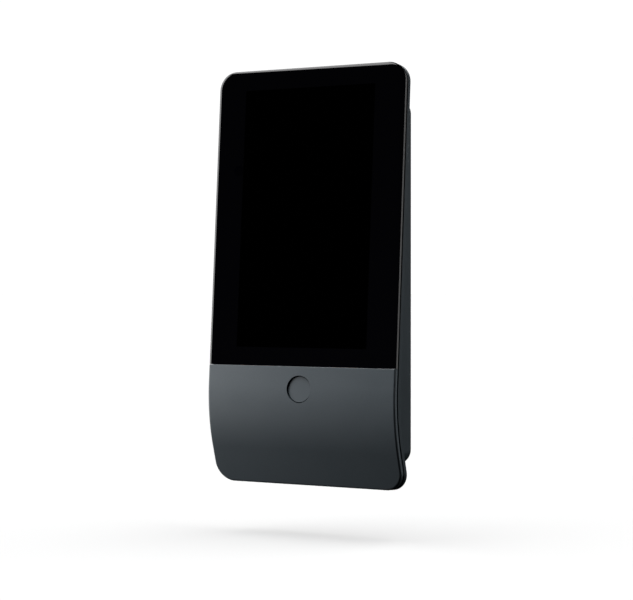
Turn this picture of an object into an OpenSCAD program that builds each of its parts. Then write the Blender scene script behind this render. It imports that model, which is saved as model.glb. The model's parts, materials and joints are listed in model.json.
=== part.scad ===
// Wall-mounted touch keypad panel for an alarm system, in millimetres.
// +X is to the right of a person who faces the panel, +Y goes into the wall, +Z is up.
// The origin is the middle of the wall bracket's back face, which lies on the wall.
// Places on the panel are given in its own leaning frame: X across, Y is the depth
// behind the face, Z is the height along the face from the middle of the screen.

/* [Front face] */
// Width of the panel
panel_w = 89.3; // [88.6:0.1:90.6]
// Height of the cover glass, along the face
glass_h = 126.9; // [126.4:0.1:128.4]
// Height of the lower cover, along the face
cover_h = 50.1; // [49:0.1:51]
// Corner radius of the face
corner_r = 8; // [6:0.1:9]
// Lean of the face: its top is nearer to the wall than its foot
lean = 4.3; // [3.9:0.1:4.5]
// Distance from the wall to the middle of the screen
stand_off = 18.05; // [18:0.05:19]
// Height of the middle of the screen above the middle of the bracket
screen_rise = 27.9; // [27.5:0.1:28.2]

/* [Lower cover] */
// Flat run below the glass, before the cover bends back
flat_run = 8.1; // [7:0.1:9]
// Radius of the bend
bend_r = 72; // [66:1:80]
// Angle of the bend
bend_angle = 22.25; // [20:0.25:23]
// Thickness of the lower cover
cover_t = 2.1; // [2:0.05:2.2]

/* [Screen] */
// Thickness of the cover glass
glass_t = 2.1; // [2:0.05:2.15]
// Width of the screen module
module_w = 64.4; // [63:0.1:64.6]
// Top edge of the screen module, above the middle of the picture
module_top = 57.2; // [56.4:0.1:57.4]
// Foot of the screen module, below the middle of the picture
module_foot = 61.5; // [60:0.1:61.7]

/* [Button] */
// Diameter of the front button
button_d = 10.9; // [10.3:0.1:11.1]
// Hole for the front button in the lower cover
button_hole_d = 11.5; // [11.4:0.1:11.8]
// Distance of the button below the glass
button_drop = 9.65; // [9.4:0.05:10]
// Travel of the front button
button_travel = 0.5; // [0.3:0.1:0.5]

/* [Rear housing] */
// Shadow gap between the face plates and the housing
shadow_gap = 1.1; // [1:0.05:1.15]
// Depth of the housing's rim
rim_t = 2.4; // [2.3:0.05:2.5]
// Wall of the rear housing
wall_t = 1.5; // [1.4:0.1:1.6]
// Half width of the box on the back of the housing
box_half_w = 38.8; // [38.4:0.1:38.9]
// Distance of the box's back from the wall
box_gap = 5; // [4.8:0.1:5.2]

/* [Wall bracket] */
// Width of the bracket
bracket_w = 82.1; // [82:0.1:82.6]
// Height of the bracket
bracket_h = 152.8; // [152.4:0.1:153.4]
// Corner radius of the bracket
bracket_r = 6; // [5:0.5:7]
// Thickness of the bracket's back
bracket_back = 2; // [1.8:0.1:2.2]
// Thickness of the bracket's skirt
skirt_t = 1.6; // [1.4:0.1:1.7]
// Lift that takes the panel off its hooks
lift = 6; // [5:0.5:6]
// Distance between the wall screws, across
screw_pitch_x = 50; // [46:1:52]
// Distance between the wall screws, up and down
screw_pitch_z = 116; // [114:1:120]
// Diameter of the wall screw holes
screw_hole_d = 4.4; // [4:0.1:4.8]
// Width of the cable opening
cable_w = 44; // [36:1:44]
// Height of the cable opening
cable_h = 26; // [20:1:26]

/* [Hidden] */
$fn = 64;

// Small distances that the parts share.
fit = 0.05;              // running fit of a pin in its bore, on the radius
clear = 0.35;            // room between the panel and the bracket
seam = 0.1;              // gap between two pieces that meet at a line
far = 60;                // longer than any depth that is cut away
bend_steps = 16;         // flats that make up the bend

// Heights along the face, from the middle of the screen.
glass_top = glass_h / 2;
glass_foot = -glass_h / 2;
face_foot = glass_foot - cover_h;
face_mid = (glass_top + face_foot) / 2;
bend_start = glass_foot - flat_run;
button_z = glass_foot - button_drop;

// Depths behind the face.
rim_front = cover_t + shadow_gap;
rim_back = rim_front + rim_t;
floor_t = 1.2;
floor_front = rim_back - floor_t;
tape_t = 0.3;
frame_front = glass_t + tape_t;
module_front = glass_t;
cell_t = 1.4;
backlight_front = module_front + cell_t;
module_back = 4.8;
plate_front = 4.95;
plate_t = 0.4;
platform_back = 6.7;
platform_front = 5.4;
board_front = 5.8;
board_t = 1.2;
board_back = board_front + board_t;

// Insets from the edge of the face.
groove = 1.0;            // depth of the shadow gap
rim_w = 1.7;             // thickness of the housing's rim
ring_inset = rim_w + seam;
ring_w = 1.2;

// The rear box, in the wall's frame.
box_back = -box_gap;
box_top = bracket_h / 2 - skirt_t - lift - 0.9;
box_foot = -bracket_h / 2 + skirt_t + 0.9;
box_r = 4;
platform_top = 62;

// The frame around the screen module.
ring_half_w = 36.4;
ring_top = 60.2;
ring_foot = 64.5;
module_room = 0.3;
frame_foot = glass_foot - 1.2;

// Hooks of the bracket: [x, height of the seat].
HOOKS = [for (x = [-28, 28], z = [44, -38]) [x, z]];
hook_w = 8;
hook_t = 1.8;
hook_seat = 4;
hook_lip = lift - 0.5;

// Holding screw below the panel.
hold_y = -7.4;
hold_r = 1.5;
hold_len = 9.5;
hold_head_r = 2.4;
hold_head_h = 1.8;
boss_r = 2.4;

// Break-away tab with the ramp that works the tamper plunger.
tab_z = 40;
tab_w = 26;
tab_h = 28;
tab_slot = 1.2;
tab_bridge = 2.5;
tamper_rise = 17;        // height of the plunger on the face
tamper_ratio = 0.25;     // plunger travel for each millimetre of lift
tamper_travel = tamper_ratio * lift;
plunger_r = 1.7;
plunger_tip_y = -3.9;
ramp_angle = atan2(tamper_ratio * cos(lean), 1 - tamper_ratio * sin(lean));
tip_depth = (plunger_tip_y + stand_off) / cos(lean) - tamper_rise * tan(lean);

// Main board and what stands on it.
board_half_w = 36.3;
board_top = 34;
board_foot = 66;
BOARD_SCREWS = [for (x = [-34.7, 34.7], z = [28, -56]) [x, z]];
board_screw_r = 1.1;
block_z = -47;
block_w = 25.4;
block_h = 8.5;
block_t = 8.2;
ways = 5;
well_half_w = 17;
well_top = -8;
well_foot = -36;
tamper_body = 7;
tamper_body_t = 3;

// Ribbons of the screen: [left edge, right edge].
DISPLAY_RIBBON = [-31, -14];
TOUCH_RIBBON = [14, 26];

// Button parts: depths behind the face.
button_face = 0.75;
button_boss_back = 2.9;
button_boss_r = 8;
button_flange = 3.0;
button_flange_t = 0.8;
button_flange_r = button_d / 2 + 0.9;
button_back = 4.9;
stem_r = 1.5;
stem_len = 0.75;
switch_front = 5.5;
switch_back = 7.5;
button_board_t = 1.0;
post_x = 10.5;

// Housing screws, at the top on the face and at the foot on the lip.
TOP_SCREWS = [[-39.1, 54.5], [39.1, 54.5]];
FOOT_SCREWS = [[-30, -9], [30, -9]];
small_screw_r = 1;
small_head_r = 1.8;
small_head_t = 0.9;
pad_front = 4.1;
pad_r = 2.5;

body_grey = "#4a4f52";
housing_grey = "#2b2e30";
bracket_grey = "#303335";
board_green = "#1f4d36";
steel = "#a9adb0";
flex_amber = "#8a5a24";

// ---- Frames -------------------------------------------------------------------

// The leaning frame of the face.
module on_face() {
    translate([0, -stand_off, screen_rise]) rotate([-lean, 0, 0]) children();
}

// The frame of the straight lip at the foot of the face, with its origin at the bend's end.
module on_lip() {
    on_face()
        translate([0, bend_r * (1 - cos(bend_angle)), bend_start - bend_r * sin(bend_angle)])
            rotate([bend_angle, 0, 0]) children();
}

// A flat shape in X and Z, as thick as from depth a to depth b.
module slice(a, b) {
    translate([0, b, 0]) rotate([90, 0, 0]) linear_extrude(b - a) children();
}

// A profile in depth and height, as wide as from x = a to x = b.
module across(a, b) {
    translate([a, 0, 0]) rotate([90, 0, 90]) linear_extrude(b - a) children();
}

// A round rod along the depth, from a to b.
module rod(r, a, b) {
    translate([0, b, 0]) rotate([90, 0, 0]) cylinder(r = r, h = b - a);
}

// A box from one corner to the other.
module block(low, high) {
    translate(low) cube(high - low);
}

// ---- Outlines -----------------------------------------------------------------

module round_rect(w, h, r) {
    square([w - 2 * r, h], center = true);
    square([w, h - 2 * r], center = true);
    for (x = [-1, 1], z = [-1, 1])
        translate([x * (w / 2 - r), z * (h / 2 - r)]) circle(r);
}

// Outline of the whole face, drawn in by an inset.
module face_outline(inset = 0) {
    translate([0, face_mid])
        round_rect(panel_w - 2 * inset, glass_h + cover_h - 2 * inset, corner_r - inset);
}

// Band between two insets of the face.
module face_band(outer, inner) {
    difference() {
        face_outline(outer);
        face_outline(inner);
    }
}

// Point of the side profile at a depth and an angle round the bend.
function bend_point(depth, angle) =
    [bend_r, bend_start] - (bend_r - depth) * [cos(angle), sin(angle)];

// Side of the profile at a depth: the flat, the bend and the lip, from the top down.
function bent_side(depth, top) = concat(
    [[depth, top]],
    [for (i = [0:bend_steps]) bend_point(depth, bend_angle * i / bend_steps)],
    [bend_point(depth, bend_angle) + cover_h * [sin(bend_angle), -cos(bend_angle)]]
);

// Side profile that runs down the face, round the bend and down the lip,
// between depths a and b, starting at a given height.
module bent_profile(a, b, top) {
    back = bent_side(b, top);
    polygon(concat(bent_side(a, top), [for (i = [len(back) - 1:-1:0]) back[i]]));
}

// Part of a slab that follows the face between depths a and b, within a flat shape.
module bent_slab(a, b, top = glass_top) {
    intersection() {
        across(-panel_w / 2, panel_w / 2) bent_profile(a, b, top);
        slice(a - 1, far) children();
    }
}

// Prism of the rear box, with its walls drawn in by an inset, from the face to the back.
module box_prism(inset) {
    slice(-far, box_back - inset)
        translate([0, (box_top + box_foot) / 2])
            round_rect(2 * (box_half_w - inset), box_top - box_foot - 2 * inset, box_r - inset);
}

// Raised platform behind the top of the screen, in the frame of the face.
module platform(inset, a, b) {
    slice(a, b) translate([0, platform_top / 2])
        round_rect(2 * (box_half_w - inset), platform_top - 2 * inset, box_r - inset);
}

// ---- Wall bracket -------------------------------------------------------------

module bracket_outline(inset = 0) {
    round_rect(bracket_w - 2 * inset, bracket_h - 2 * inset, bracket_r - inset);
}

// Space that the panel's slab takes when it hangs on the hooks and when it is lifted.
module panel_space() {
    for (z = [0, lift + 0.5]) translate([0, 0, z]) on_face() {
        across(-panel_w / 2, panel_w / 2) bent_profile(-8, rim_back + clear, glass_top);
        block([-box_half_w - clear, -8, 0], [box_half_w + clear, platform_back + clear, far]);
    }
}

// Hook with a seat that carries the panel and a lip that holds it to the wall.
module hook() {
    back = box_back - wall_t - 0.3;
    block([-hook_w / 2, back - hook_t, -hook_seat], [hook_w / 2, -bracket_back / 2, 0]);
    block([-hook_w / 2, back - hook_t, -hook_seat], [hook_w / 2, back, hook_lip]);
}

// Slot round the break-away tab, cut through but for four bridges.
module tab_slots() {
    difference() {
        slice(-far, far) difference() {
            round_rect(tab_w, tab_h, 3);
            round_rect(tab_w - 2 * tab_slot, tab_h - 2 * tab_slot, 3 - tab_slot);
        }
        cube([tab_bridge, 3 * far, 2 * tab_h], center = true);
        cube([2 * tab_w, 3 * far, tab_bridge], center = true);
    }
}

// Ramp under the plunger's round tip: it falls away as the panel is lifted.
module tamper_ramp() {
    mid_z = screen_rise + tamper_rise * cos(lean);
    difference() {
        block([-3.5, -5, mid_z - 4], [3.5, -bracket_back / 2, mid_z + lift + 4]);
        on_face() translate([0, tip_depth - plunger_r, tamper_rise])
            rotate([lean - ramp_angle, 0, 0])
                block([-far, -far, -far], [far, plunger_r + fit, far]);
    }
}

module wall_bracket() {
    color(bracket_grey) difference() {
        union() {
            slice(-bracket_back, 0) bracket_outline();
            difference() {
                slice(-stand_off, 0) difference() {
                    bracket_outline();
                    bracket_outline(skirt_t);
                }
                panel_space();
            }
            for (h = HOOKS) translate([h[0], 0, h[1]]) hook();
            slice(-bracket_back - 1, -bracket_back / 2)
                translate([0, (well_top + well_foot) / 2 + 1]) difference() {
                    round_rect(cable_w + 3, cable_h + 3, 5.5);
                    round_rect(cable_w, cable_h, 4);
                }
            tamper_ramp();
        }
        slice(-bracket_back - 2, 1)
            translate([0, (well_top + well_foot) / 2 + 1]) round_rect(cable_w, cable_h, 4);
        for (x = [-1, 1], z = [-1, 1])
            translate([x * screw_pitch_x / 2, 0, z * screw_pitch_z / 2])
                rod(screw_hole_d / 2, -far, 1);
        translate([0, 0, tab_z - 8]) rod(screw_hole_d / 2, -far, 1);
        translate([0, 0, tab_z]) tab_slots();
        translate([0, hold_y, -bracket_h / 2 - 1]) cylinder(r = hold_r + 0.2, h = skirt_t + 2);
    }
}

module holding_screw() {
    foot = -bracket_h / 2;
    color(steel) difference() {
        union() {
            translate([0, hold_y, foot]) cylinder(r = hold_r, h = hold_len);
            translate([0, hold_y, foot - hold_head_h]) cylinder(r = hold_head_r, h = hold_head_h);
        }
        translate([0, hold_y, foot - hold_head_h]) cube([4.4, 0.8, 1.4], center = true);
        translate([0, hold_y, foot - hold_head_h]) cube([0.8, 4.4, 1.4], center = true);
    }
}

// ---- Rear housing -------------------------------------------------------------

module hook_slots() {
    for (h = HOOKS)
        translate([h[0], 0, h[1]])
            block([-hook_w / 2 - 0.5, box_back - wall_t - 1, -hook_seat - lift - 0.5],
                [hook_w / 2 + 0.5, 0, fit]);
}

// Pads that take the housing's screws.
module screw_pads(front, back, r) {
    on_face() for (p = TOP_SCREWS) translate([p[0], 0, p[1]]) rod(r, front, back);
    on_lip() for (p = FOOT_SCREWS) translate([p[0], 0, p[1]]) rod(r, front, back);
}

module rear_housing() {
    color(housing_grey) difference() {
        union() {
            difference() {
                union() {
                    on_face() bent_slab(rim_front, rim_back) face_outline();
                    on_face() platform(0, floor_front, platform_back);
                    intersection() {
                        box_prism(0);
                        on_face() across(-far, far) bent_profile(floor_front, far, glass_top);
                    }
                }
                on_face() bent_slab(rim_front - 1, floor_front) face_outline(rim_w);
                on_face() platform(wall_t, 0, platform_front);
                box_prism(wall_t);
            }
            screw_pads(pad_front, rim_back - 0.5, pad_r);
            translate([0, hold_y, box_foot]) cylinder(r = boss_r, h = 10);
            terminal_well();
        }
        hook_slots();
        block([-well_half_w, box_back - wall_t - 1, well_foot], [well_half_w, 0, well_top]);
        screw_pads(rim_back - small_head_t - 0.1, far / 4, small_head_r + 0.1);
        screw_pads(pad_front - 1, rim_back, small_screw_r + fit);
        translate([0, hold_y, box_foot - 1]) cylinder(r = hold_r + fit, h = 12);
        on_face() translate([0, 0, tamper_rise]) rod(plunger_r + fit, 8, far / 2);
        for (x = [-4, 0, 4])
            translate([x - 27, 0, -13]) block([-0.7, box_back - wall_t - 1, -5], [0.7, 0, 5]);
    }
}

// Walls of the well that the terminals lie in.
module terminal_well() {
    t = 1.2;
    difference() {
        block([-well_half_w - t, -13.2, well_foot - t], [well_half_w + t, box_back - 0.5, well_top + t]);
        block([-well_half_w, -15, well_foot], [well_half_w, 0, well_top]);
    }
}

module housing_screw() {
    head = rim_back - small_head_t;
    rod(small_screw_r, frame_front + 0.4, head + 0.2);
    difference() {
        rod(small_head_r, head, rim_back - 0.1);
        block([-0.3, rim_back - 0.5, -1.2], [0.3, rim_back, 1.2]);
        block([-1.2, rim_back - 0.5, -0.3], [1.2, rim_back, 0.3]);
    }
}

module housing_screws() {
    color(steel) {
        on_face() for (p = TOP_SCREWS) translate([p[0], 0, p[1]]) housing_screw();
        on_lip() for (p = FOOT_SCREWS) translate([p[0], 0, p[1]]) housing_screw();
    }
}

// ---- Screen -------------------------------------------------------------------

// A flat shape is kept above a height.
module above(z) {
    intersection() {
        children();
        translate([-far, z]) square([2 * far, glass_h + cover_h]);
    }
}

module cover_glass() {
    color("#0a0a0b") on_face() slice(0, glass_t) above(glass_foot) face_outline();
}

module glass_tape() {
    color("#15171a") on_face() slice(glass_t, frame_front) difference() {
        above(glass_foot + 0.3) face_outline(groove + 0.2);
        above(glass_foot + 1.7) face_outline(groove + 3.2);
    }
}

// Outline of the screen module, with some room round it.
module module_outline(room = 0) {
    translate([-module_w / 2 - room, -module_foot - room])
        square([module_w + 2 * room, module_top + module_foot + 2 * room]);
}

module display_panel() {
    color("#101114") on_face() slice(module_front, backlight_front) module_outline();
}

module backlight_unit() {
    color("#c9cbcc") on_face() slice(backlight_front, module_back) module_outline();
}

// Wall that stands round the screen module.
module ring_outline() {
    difference() {
        translate([-ring_half_w, -ring_foot]) square([2 * ring_half_w, ring_top + ring_foot]);
        module_outline(module_room);
    }
}

module front_frame() {
    color("#1d1f21") difference() {
        on_face() {
            slice(frame_front, rim_front) difference() {
                above(frame_foot) face_outline(groove);
                module_outline(module_room);
            }
            slice(rim_front, floor_front - seam) difference() {
                above(frame_foot) face_outline(ring_inset);
                above(frame_foot + ring_w) face_outline(ring_inset + ring_w);
            }
            slice(rim_front, module_back + seam) ring_outline();
            for (p = TOP_SCREWS) translate([p[0], 0, p[1]])
                rod(pad_r, frame_front + 0.2, pad_front - seam);
        }
        screw_pads(frame_front + 0.3, far, small_screw_r + fit);
        on_face() {
            for (p = BOARD_SCREWS) translate([p[0], 0, p[1]])
                rod(board_screw_r + fit, frame_front + 0.4, far);
            for (r = [DISPLAY_RIBBON, TOUCH_RIBBON])
                block([r[0] - 0.5, frame_front - 0.1, -far - ring_foot], [r[1] + 0.5, far, -module_foot]);
            block([-34.8, 0, 18.4], [-30, rim_front + 0.4, 21.6]);
        }
    }
}

module support_plate() {
    color("#8f9396") on_face() difference() {
        union() {
            slice(plate_front, plate_front + plate_t)
                translate([-ring_half_w, -board_foot])
                    square([2 * ring_half_w, ring_top + board_foot]);
            for (p = BOARD_SCREWS) translate([p[0], 0, p[1]])
                rod(1.8, plate_front + plate_t / 2, board_front);
        }
        for (p = BOARD_SCREWS) translate([p[0], 0, p[1]]) rod(board_screw_r + 0.15, 0, far);
    }
}

module light_sensor() {
    color("#2a2a2c") on_face() block([-34.3, glass_t + 0.1, 18.8], [-32.6, rim_front, 21.2]);
}

// Flat ribbon that leaves the screen's foot and turns round the board's edge.
module ribbon(x0, x1, front) {
    t = 0.2;
    turn = board_foot + 1;
    back = board_back + 0.3;
    mid = (front + back) / 2;
    r = (back - front) / 2;
    color(flex_amber) on_face() across(x0, x1) {
        translate([front - t / 2, -turn]) square([t, turn - module_foot]);
        translate([back - t / 2, -turn]) square([t, turn - 59]);
        difference() {
            translate([mid, -turn]) circle(r + t / 2);
            translate([mid, -turn]) circle(r - t / 2);
            translate([mid - 5, -turn]) square([10, 5]);
        }
    }
}

module display_ribbon() {
    ribbon(DISPLAY_RIBBON[0], DISPLAY_RIBBON[1], backlight_front + 0.1);
}

module touch_ribbon() {
    ribbon(TOUCH_RIBBON[0], TOUCH_RIBBON[1], glass_t + 0.5);
}

// ---- Lower cover and button ---------------------------------------------------

module lower_cover() {
    ring_top_z = frame_foot - 0.2;
    color(body_grey) difference() {
        union() {
            on_face() {
                bent_slab(0, cover_t, glass_foot - seam) face_outline();
                bent_slab(cover_t - 0.2, rim_front - seam, ring_top_z)
                    face_band(groove, groove + 2);
                bent_slab(cover_t - 0.2, floor_front - seam, ring_top_z)
                    face_band(ring_inset, ring_inset + ring_w);
                translate([0, 0, button_z]) rod(button_boss_r, cover_t / 2, button_boss_back);
                for (x = [-post_x, post_x]) translate([x, 0, button_z]) {
                    rod(2.2, 0.8, switch_back);
                    rod(1.2, 0.8, switch_back + button_board_t + 0.6);
                }
            }
            on_lip() for (p = FOOT_SCREWS) translate([p[0], 0, p[1]])
                rod(pad_r, cover_t / 2, pad_front - seam);
        }
        on_face() translate([0, 0, button_z]) rod(button_hole_d / 2, -1, 5);
        screw_pads(frame_front + 0.3, far, small_screw_r + fit);
    }
}

module front_button() {
    color(body_grey) on_face() translate([0, 0, button_z]) {
        rod(button_d / 2, button_face, button_flange + 0.1);
        rod(button_flange_r, button_flange, button_flange + button_flange_t);
        rod(2, button_flange, button_back);
    }
}

// Collar behind the cover that guides the button's flange.
module button_guide() {
    color("#d8dadb") on_face() translate([0, 0, button_z]) difference() {
        rod(button_boss_r, button_boss_back, switch_front - 0.9);
        rod(button_flange_r + 0.2, 0, switch_front);
    }
}

module switch_stem() {
    color("#e8e8e6") on_face() translate([0, 0, button_z])
        rod(stem_r, button_back, button_back + stem_len);
}

module button_switch() {
    color("#3a3c3e") on_face() translate([0, 0, button_z]) difference() {
        block([-3, switch_front, -3], [3, switch_back, 3]);
        rod(stem_r + fit, 0, button_back + stem_len + button_travel + 0.05);
    }
}

module button_board() {
    color(board_green) on_face() difference() {
        slice(switch_back, switch_back + button_board_t)
            translate([0, button_z - 1]) round_rect(25.4, 17, 1.5);
        for (x = [-post_x, post_x]) translate([x, 0, button_z]) rod(1.25, 0, far);
    }
}

module button_ribbon() {
    back = switch_back + button_board_t;
    color(flex_amber) on_face() block([-3, back, -72], [3, back + 0.15, -59.5]);
}

// ---- Boards -------------------------------------------------------------------

module main_board() {
    color(board_green) on_face() difference() {
        slice(board_front, board_back) translate([0, (board_top - board_foot) / 2])
            round_rect(2 * board_half_w, board_top + board_foot, 1.5);
        for (p = BOARD_SCREWS) translate([p[0], 0, p[1]]) rod(board_screw_r + 0.15, 0, far);
    }
}

module board_screws() {
    color(steel) on_face() for (p = BOARD_SCREWS) translate([p[0], 0, p[1]]) {
        rod(board_screw_r, frame_front + 0.8, board_back + 0.1);
        difference() {
            rod(1.5, board_back, board_back + 1.2);
            block([-0.3, board_back + 0.7, -1], [0.3, board_back + 2, 1]);
            block([-1, board_back + 0.7, -0.3], [1, board_back + 2, 0.3]);
        }
    }
}

// Low connectors that the three ribbons end in.
module ribbon_connectors() {
    color("#e4e2dc") on_face() {
        for (r = [DISPLAY_RIBBON, TOUCH_RIBBON])
            block([r[0] - 0.5, board_back, -59], [r[1] + 0.5, board_back + 1, -54.5]);
        block([-4, board_back, -64], [4, switch_back + button_board_t, -59.5]);
    }
}

// Tinned steel can over the processor and its memory.
module shield_can() {
    h = 2.2;
    t = 0.3;
    color("#b9bcbe") on_face() difference() {
        block([-17, board_back, -21], [17, board_back + h, 5]);
        block([-17 + t, 0, -21 + t], [17 - t, board_back + h - t, 5 - t]);
    }
}

module processor() {
    color("#1b1b1d") on_face() block([-13, board_back, -14], [-1, board_back + 1.2, -2]);
}

module memory_chip() {
    color("#1b1b1d") on_face() block([3, board_back, -13], [12, board_back + 1, -2]);
}

module power_inductor() {
    color("#26282a") on_face() translate([27, 0, -46]) {
        slice(board_back, board_back + 3.6) round_rect(9.5, 9.5, 1.5);
        rod(4, board_back + 3.6, board_back + 4.1);
    }
}

module capacitors() {
    color("#9fa3a6") on_face() for (z = [-31, -22]) translate([27, 0, z]) {
        slice(board_back, board_back + 0.8) round_rect(6.6, 6.6, 0.8);
        rod(3.1, board_back + 0.8, board_back + 5.6);
    }
}

module buzzer() {
    color("#161718") on_face() translate([-27, 0, -40]) difference() {
        rod(6, board_back, board_back + 6.5);
        rod(1.2, board_back + 5, far);
    }
}

module terminal_block() {
    top = board_back + block_t;
    pitch = block_w / ways;
    color("#27634a") on_face() difference() {
        block([-block_w / 2, board_back, block_z - block_h / 2],
            [block_w / 2, top, block_z + block_h / 2]);
        for (i = [0:ways - 1]) translate([(i - (ways - 1) / 2) * pitch, 0, block_z]) {
            rod(1.9, top - 3.5, far);
            block([-1.7, top - 6.6, -far], [1.7, top - 3.9, 1.5]);
        }
    }
}

module terminal_screws() {
    top = board_back + block_t;
    pitch = block_w / ways;
    color(steel) on_face() for (i = [0:ways - 1])
        translate([(i - (ways - 1) / 2) * pitch, 0, block_z]) difference() {
            rod(1.85, top - 3.4, top - 1.2);
            block([-2, top - 1.8, -0.3], [2, top, 0.3]);
        }
}

module tamper_switch() {
    half = tamper_body / 2;
    color("#202224") on_face() translate([0, 0, tamper_rise]) difference() {
        block([-half, board_back, -half], [half, board_back + tamper_body_t, half]);
        rod(plunger_r + fit, board_back + 1, far);
    }
}

module tamper_plunger() {
    color("#d9d7cf") on_face() translate([0, 0, tamper_rise]) {
        rod(plunger_r, board_back + 1.2, tip_depth - plunger_r);
        translate([0, tip_depth - plunger_r, 0]) sphere(plunger_r);
    }
}

wall_bracket();
holding_screw();
rear_housing();
housing_screws();
front_frame();
cover_glass();
glass_tape();
display_panel();
backlight_unit();
support_plate();
light_sensor();
display_ribbon();
touch_ribbon();
lower_cover();
front_button();
button_guide();
switch_stem();
button_switch();
button_board();
button_ribbon();
main_board();
board_screws();
ribbon_connectors();
shield_can();
processor();
memory_chip();
power_inductor();
capacitors();
buzzer();
terminal_block();
terminal_screws();
tamper_switch();
tamper_plunger();
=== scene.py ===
"""Looks of the wall-mounted alarm keypad panel, built around the CAD frame.

+X is to the right of a person who faces the panel, +Y goes into the wall and +Z is up.
Sizes in the classes are in millimetres; meshes are in metres.
"""

from __future__ import annotations

import json
import logging
import math
from collections.abc import Callable, Iterable
from dataclasses import dataclass, field
from enum import Enum

import bmesh
import bpy
from mathutils import Matrix, Vector


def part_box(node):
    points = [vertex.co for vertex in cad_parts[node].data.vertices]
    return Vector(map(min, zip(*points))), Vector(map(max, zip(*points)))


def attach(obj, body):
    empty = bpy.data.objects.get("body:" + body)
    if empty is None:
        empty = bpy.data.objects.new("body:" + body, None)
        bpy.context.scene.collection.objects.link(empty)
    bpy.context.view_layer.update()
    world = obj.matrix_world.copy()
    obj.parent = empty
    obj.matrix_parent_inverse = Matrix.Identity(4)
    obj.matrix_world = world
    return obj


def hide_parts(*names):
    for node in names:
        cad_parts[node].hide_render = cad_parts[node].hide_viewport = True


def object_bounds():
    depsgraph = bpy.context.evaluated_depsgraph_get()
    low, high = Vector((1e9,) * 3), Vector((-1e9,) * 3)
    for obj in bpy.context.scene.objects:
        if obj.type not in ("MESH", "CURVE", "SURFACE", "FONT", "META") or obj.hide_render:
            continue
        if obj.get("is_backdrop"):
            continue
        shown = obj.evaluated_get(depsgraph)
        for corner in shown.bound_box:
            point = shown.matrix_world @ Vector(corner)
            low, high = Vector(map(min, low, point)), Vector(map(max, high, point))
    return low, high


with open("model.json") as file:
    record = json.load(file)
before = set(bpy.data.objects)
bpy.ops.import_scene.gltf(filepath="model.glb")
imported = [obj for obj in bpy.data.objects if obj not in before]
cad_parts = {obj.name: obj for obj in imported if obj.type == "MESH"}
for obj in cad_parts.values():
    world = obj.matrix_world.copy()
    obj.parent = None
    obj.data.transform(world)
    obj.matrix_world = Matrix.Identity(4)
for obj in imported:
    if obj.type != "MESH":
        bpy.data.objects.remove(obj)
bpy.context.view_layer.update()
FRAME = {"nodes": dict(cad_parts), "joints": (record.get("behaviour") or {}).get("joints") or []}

MM = 0.001
NEAR = 0.01  # mm, for points that lie on a plane
OUTLINE_SLACK = 0.04  # mm, for points that lie on a drawn outline
SHARP_TURN = 0.6  # radians between two faces, from which an outside edge counts as sharp
LOG = logging.getLogger("keypad")


# ---- Shared tools ------------------------------------------------------------------


class Body(Enum):
    """The moving groups of the frame."""

    BRACKET = "bracket"
    PANEL = "panel"
    BUTTON = "button"
    PLUNGER = "plunger"


def linear(colour: str) -> tuple[float, float, float, float]:
    """Turns an sRGB hex colour to linear values.

    Args:
        colour: The colour as "#rrggbb".

    Returns:
        Linear red, green, blue and an alpha of 1.
    """
    parts = [int(colour[i : i + 2], 16) / 255 for i in (1, 3, 5)]
    turned = [c / 12.92 if c <= 0.04045 else ((c + 0.055) / 1.055) ** 2.4 for c in parts]
    return (turned[0], turned[1], turned[2], 1.0)


def add(
    tree: bpy.types.NodeTree, kind: str, settings: dict | None = None, **links
) -> bpy.types.Node:
    """Adds one node with its settings and what goes into it.

    Args:
        tree: The node tree.
        kind: The node's type, such as "ShaderNodeTexNoise".
        settings: Values of the node's properties, or of its sockets by name or number.
        links: What feeds each socket, by its name with _ for a space, as an output socket.

    Returns:
        The new node.
    """
    node = tree.nodes.new(kind)
    for name, value in (settings or {}).items():
        if isinstance(name, str) and hasattr(node, name):
            setattr(node, name, value)
        else:
            node.inputs[name].default_value = value
    for name, source in links.items():
        key = int(name[1:]) if name[1:].isdigit() else name.replace("_", " ")
        tree.links.new(source, node.inputs[key])
    return node


def shade(colour: tuple[float, ...], factor: float) -> tuple[float, float, float, float]:
    """Makes a linear colour lighter or darker.

    Args:
        colour: The linear colour.
        factor: What its red, green and blue are multiplied by.

    Returns:
        The new linear colour, with an alpha of 1.
    """
    red, green, blue = (part * factor for part in colour[:3])
    return (red, green, blue, 1.0)


@dataclass(frozen=True)
class FaceFrame:
    """The panel's leaning frame: x across, y the depth behind the face, z up the face.

    Its origin is the middle of the glass's front.
    """

    lean: float
    origin: Vector
    width: float
    glass_h: float
    glass_t: float

    @classmethod
    def from_cad(cls) -> FaceFrame:
        """Reads the lean from the button's axis, and the place and sizes from the glass.

        Returns:
            The frame of this panel.
        """
        press = next(j for j in FRAME["joints"] if j["name"] == "button_press")
        lean = math.atan2(-press["axis"][2], press["axis"][1])
        low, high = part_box("cover_glass")
        spread = high - low
        # a leaning slab is dy = h sin + t cos deep and dz = h cos + t sin high
        sin, cos = math.sin(lean), math.cos(lean)
        height = (spread.z * cos - spread.y * sin) / math.cos(2 * lean)
        thick = (spread.y * cos - spread.z * sin) / math.cos(2 * lean)
        middle = (low + high) / 2
        front = Vector((0, -cos, sin))
        return cls(lean, middle + front * thick / 2, spread.x / MM, height / MM, thick / MM)

    def matrix(self) -> Matrix:
        """Gives the way from this frame to the row frame.

        Returns:
            The matrix from this frame, in metres, to the row frame.
        """
        return Matrix.Translation(self.origin) @ Matrix.Rotation(-self.lean, 4, "X")

    def local(self, point: Vector) -> Vector:
        """Turns a point of the row frame to this frame.

        Args:
            point: The point in the row frame, in metres.

        Returns:
            The same point in this frame, in millimetres.
        """
        return (self.matrix().inverted() @ point) / MM


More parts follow.
